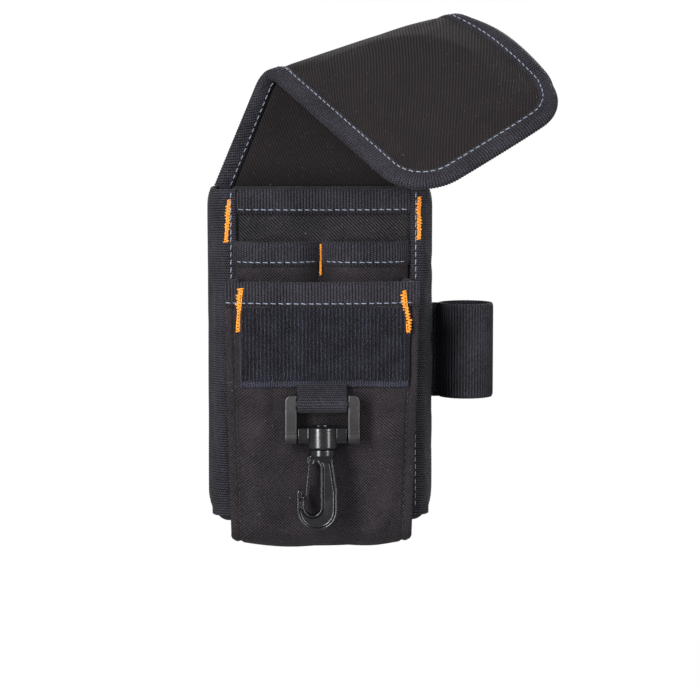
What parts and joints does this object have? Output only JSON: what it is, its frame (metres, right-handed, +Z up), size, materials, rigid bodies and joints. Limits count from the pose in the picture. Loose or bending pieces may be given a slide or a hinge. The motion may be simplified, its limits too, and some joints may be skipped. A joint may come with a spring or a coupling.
{
  "type": "tool pouch",
  "caption": "Belt-worn woven pouch with a deep main pocket, smaller front pockets, a flashlight sleeve, a swivel snap hook and a fold-over flap.",
  "frame": {"origin": "centre of the belt tunnel on the back of the pouch", "axes": "+X to the right seen from the front, along the belt; +Y towards the wearer; +Z up"},
  "size_m": [0.137, 0.0847, 0.2104],
  "materials": {
    "fabric": "woven nylon, basket weave",
    "flap_fabric": "ribbed woven nylon",
    "lining": "smooth woven nylon",
    "stiffener": "plain board",
    "webbing": "ribbed webbing",
    "binding": "ribbed edge binding",
    "loop_pile": "looped pile",
    "hook_tape": "hook tape",
    "orange_thread": "polished thread",
    "clip_plastic": "satin moulded"
  },
  "bodies": {
    "pouch": {"back_panel": "fabric", "back_stiffener": "stiffener", "back_lining": "lining", "belt_loop": "webbing", "side_band_left": "webbing", "side_band_right": "webbing", "main_front_panel": "fabric", "main_pocket_binding": "binding", "tool_pocket_left": "fabric", "tool_pocket_left_binding": "binding", "tool_pocket_right": "fabric", "tool_pocket_right_binding": "binding", "front_pocket": "fabric", "front_pocket_binding": "binding", "loop_patch": "loop_pile", "clip_webbing": "webbing", "flashlight_loop": "webbing", "bartacks": "orange_thread", "flap_seam_panel": "flap_fabric", "flap_seam_binding": "binding"},
    "flap_rear": {"flap_rear_panel": "flap_fabric", "flap_rear_binding": "binding"},
    "flap_front": {"flap_front_panel": "flap_fabric", "flap_front_binding": "binding", "hook_strip": "hook_tape"},
    "clip_frame": {"clip_frame": "clip_plastic"},
    "clip_yoke": {"clip_yoke": "clip_plastic"},
    "clip_hook": {"clip_hook": "clip_plastic"},
    "clip_gate": {"clip_gate": "clip_plastic"}
  },
  "joints": [
    {"name": "flap_hinge", "type": "hinge", "parent": "pouch", "child": "flap_rear", "pos_m": [0, -0.005, 0.042], "axis": [0.9462, -0.048, -0.3201], "range_deg": [0, 73]},
    {"name": "flap_fold", "type": "hinge", "parent": "flap_rear", "child": "flap_front", "pos_m": [0.0191, -0.0092, 0.0995], "axis": [-0.5551, 0.8172, -0.155], "range_deg": [0, 45]},
    {"name": "clip_frame_swing", "type": "hinge", "parent": "pouch", "child": "clip_frame", "pos_m": [0, -0.062, -0.0392], "axis": [-1, 0, 0], "range_deg": [0, 90]},
    {"name": "clip_yoke_swing", "type": "hinge", "parent": "clip_frame", "child": "clip_yoke", "pos_m": [0, -0.062, -0.0522], "axis": [-1, 0, 0], "range_deg": [0, 80]},
    {"name": "hook_swivel", "type": "hinge", "parent": "clip_yoke", "child": "clip_hook", "pos_m": [0, -0.062, -0.0564], "axis": [0, 0, 1], "continuous": true},
    {"name": "hook_gate", "type": "hinge", "parent": "clip_hook", "child": "clip_gate", "pos_m": [-0.0044, -0.062, -0.0611], "axis": [0, -1, 0], "range_deg": [0, 15], "stiffness_Nm_per_rad": 0.02, "springref_deg": -5.73}
  ],
  "couplings": [
    {"joint": "flap_fold", "follows": "flap_hinge", "ratio": 0.612}
  ]
}
